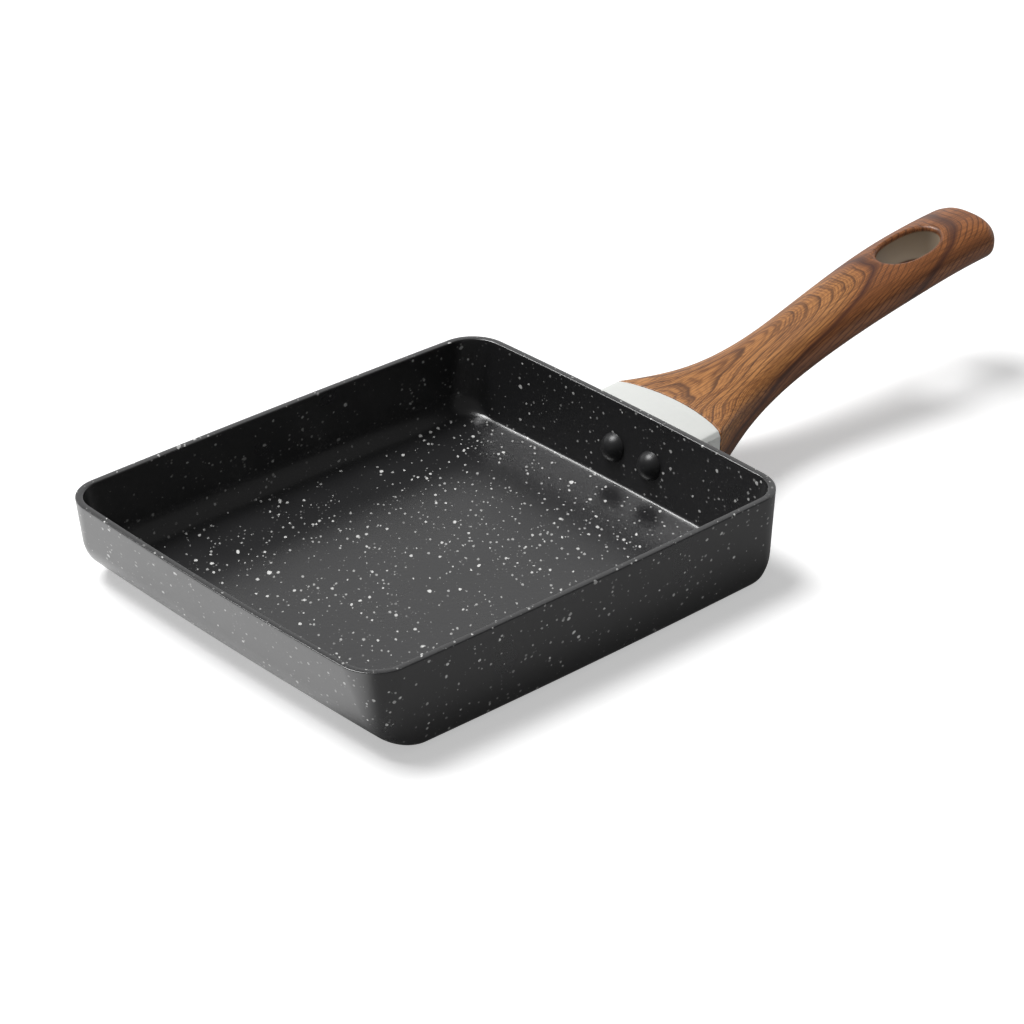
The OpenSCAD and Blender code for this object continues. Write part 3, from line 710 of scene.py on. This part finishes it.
russet = blend(tree, patchy, (0.22, 0.074, 0.024, 1), (0.48, 0.18, 0.058, 1))
colour = blend(tree, far, golden, russet)
colour = blend(tree, ease(tree, fibre, 0.44, 0.64, 0.0, 0.6), colour, (0.13, 0.047, 0.018, 1))
colour = blend(tree, fine, colour, (0.14, 0.050, 0.018, 1))
colour = blend(tree, calc(tree, "MULTIPLY", broad, 0.8), colour, (0.075, 0.026, 0.012, 1))
colour = blend(tree, calc(tree, "MULTIPLY", band, 0.72), colour, (0.060, 0.020, 0.014, 1))
# Painted shade: the film darkens towards the grip's underside, standing in for the shade that falls there
lower = ease(tree, add(tree, "SeparateXYZ", {0: run}).outputs[2], 0.002, -0.005, 0.0, 0.6)
colour = blend(tree, lower, colour, (0.035, 0.016, 0.009, 1))
colour = blend(tree, bare_mask, colour, (0.42, 0.34, 0.25, 1))
lacquer = use_group(tree, satin, {"Place": run, "Grain": 0.0016, "Roughness": 0.38, "Spread": 0.12,
                                  "Height": 0.00001})
dress(tree, shader, colour, lacquer)
paint(grip, wood)
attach(grip, "root")
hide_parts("grip")

# The screw is zinc-plated steel with a cross recess. It passes up through the grip into the
# tang, over a split spring washer of the same steel.
plated = metal("plated_steel", (0.45, 0.45, 0.46), (0.68, 0.68, 0.67), 0.28, 0.0003)
for node_name in ("grip_screw", "lock_washer"):
    paint(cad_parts[node_name], plated)

# The studio is a white table under one soft lamp, high at the back left, in a surround that looks
# white and lights dimly. What the pan mirrors is graded: the table carries a painted shade on the
# camera's right and a painted glow on its left, both seen only in reflections, and the surround is
# bright only low behind the pan. The camera stands at the photograph's angle.
floor_half = 1.3
table_mesh = bpy.data.meshes.new("table")
table_corners = [(x * floor_half, y * floor_half, 0) for x, y in ((-1, -1), (1, -1), (1, 1), (-1, 1))]
table_mesh.from_pydata(table_corners, [], [(0, 1, 2, 3)])
table = bpy.data.objects.new("table", table_mesh)
bpy.context.scene.collection.objects.link(table)
white = bpy.data.materials.new("white_table")
white.use_nodes = True
tree = white.node_tree
tree.nodes.clear()
paths = add(tree, "LightPath").outputs
mirrored = calc(tree, "MAXIMUM", paths["Is Glossy Ray"], paths["Is Transmission Ray"])
table_place = add(tree, "TexCoord").outputs["Object"]
across = add(tree, "VectorMath", {0: table_place, 1: (-0.72, 0.69, 0)},
             operation="DOT_PRODUCT").outputs["Value"]
# Painted light, seen only in reflections: a painted glow over the table's left side and a painted shade
# over the camera's right, standing in for the lamp's light and the pan's shadow on the table
painted_glow_side = ease(tree, across, 0.010, 0.040)
painted_mirrored_glow = calc(tree, "MULTIPLY", mirrored, calc(tree, "MULTIPLY_ADD", painted_glow_side, 0.45, 0.06))
glow_level = calc(tree, "MULTIPLY_ADD", paths["Is Camera Ray"], 0.45, painted_mirrored_glow)
painted_shade = calc(tree, "MULTIPLY", calc(tree, "SUBTRACT", 1.0, painted_glow_side), -0.62)
tone = calc(tree, "MULTIPLY_ADD", mirrored, painted_shade, 0.82)
matt = add(tree, "BsdfDiffuse", {"Color": tone}).outputs[0]
glow = add(tree, "Emission", {"Color": (1, 1, 1, 1), "Strength": glow_level}).outputs[0]
both = add(tree, "AddShader", {0: matt, 1: glow}).outputs[0]
tree.links.new(both, tree.nodes.new("ShaderNodeOutputMaterial").inputs[0])
paint(table, white)

world = bpy.data.worlds.new("surround")
bpy.context.scene.world = world
world.use_nodes = True
tree = world.node_tree
tree.nodes.clear()
paths = add(tree, "LightPath").outputs
seen = calc(tree, "MAXIMUM", paths["Is Glossy Ray"], paths["Is Transmission Ray"])
sky = add(tree, "TexCoord").outputs["Generated"]
height = add(tree, "SeparateXYZ", {0: sky}).outputs[2]
behind = add(tree, "VectorMath", {0: sky, 1: (0.69, 0.72, 0.0)}, operation="DOT_PRODUCT").outputs["Value"]
mirrored = calc(tree, "MULTIPLY", ease(tree, height, 0.61, 0.46), ease(tree, behind, 0.05, 0.6))
mirrored = calc(tree, "MULTIPLY_ADD", mirrored, 0.7, 0.1)
level = add(tree, "MapRange", {"Value": seen, "To Min": 0.12, "To Max": mirrored}).outputs[0]
level = calc(tree, "MAXIMUM", level, paths["Is Camera Ray"])
tree.links.new(add(tree, "Background", {"Color": (1, 1, 1, 1), "Strength": level}).outputs[0],
               tree.nodes.new("ShaderNodeOutputWorld").inputs[0])

lamp_heading, lamp_height = math.radians(116), math.radians(64)
lamp_distance, lamp_size, lamp_power = 3.5, 1.7, 132
level_part = math.cos(lamp_height)
lamp_back = np.array([math.cos(lamp_heading) * level_part, math.sin(lamp_heading) * level_part,
                      math.sin(lamp_height)])
lamp_side = np.array([-math.sin(lamp_heading), math.cos(lamp_heading), 0])
facing_pan = np.stack([lamp_side, np.cross(lamp_back, lamp_side), lamp_back], 1)
light = bpy.data.lights.new("key_lamp", "AREA")
light.size, light.energy = lamp_size, lamp_power
lamp = bpy.data.objects.new("key_lamp", light)
lamp.matrix_world = Matrix([list(facing_pan[i]) + [float(lamp_back[i] * lamp_distance)]
                            for i in range(3)] + [[0, 0, 0, 1]])
bpy.context.scene.collection.objects.link(lamp)

heading, drop, roll = math.radians(46.09635), math.radians(29.33858), math.radians(-1.58021)
ahead = np.array([math.cos(heading) * math.cos(drop), math.sin(heading) * math.cos(drop), -math.sin(drop)])
right = np.array([math.sin(heading), -math.cos(heading), 0])
down = np.cross(ahead, right)
right, down = right * math.cos(roll) + down * math.sin(roll), down * math.cos(roll) - right * math.sin(roll)
focal_px, picture_px, sensor = 3540.983, 1024, 36
distance = 1142.505
shift = np.array([-85.2634, 64.9137]) * distance / focal_px
eye = -(right * shift[0] + down * shift[1] + ahead * distance) * MM
camera = bpy.data.objects.new("camera", bpy.data.cameras.new("camera"))
camera.data.lens, camera.data.sensor_width = focal_px / picture_px * sensor, sensor
camera.data.clip_start, camera.data.clip_end = 0.05, 20
camera.matrix_world = Matrix([[right[i], -down[i], -ahead[i], eye[i]] for i in range(3)] + [[0, 0, 0, 1]])
bpy.context.scene.collection.objects.link(camera)
bpy.context.scene.camera = camera
bpy.context.scene.view_settings.view_transform = "Standard"
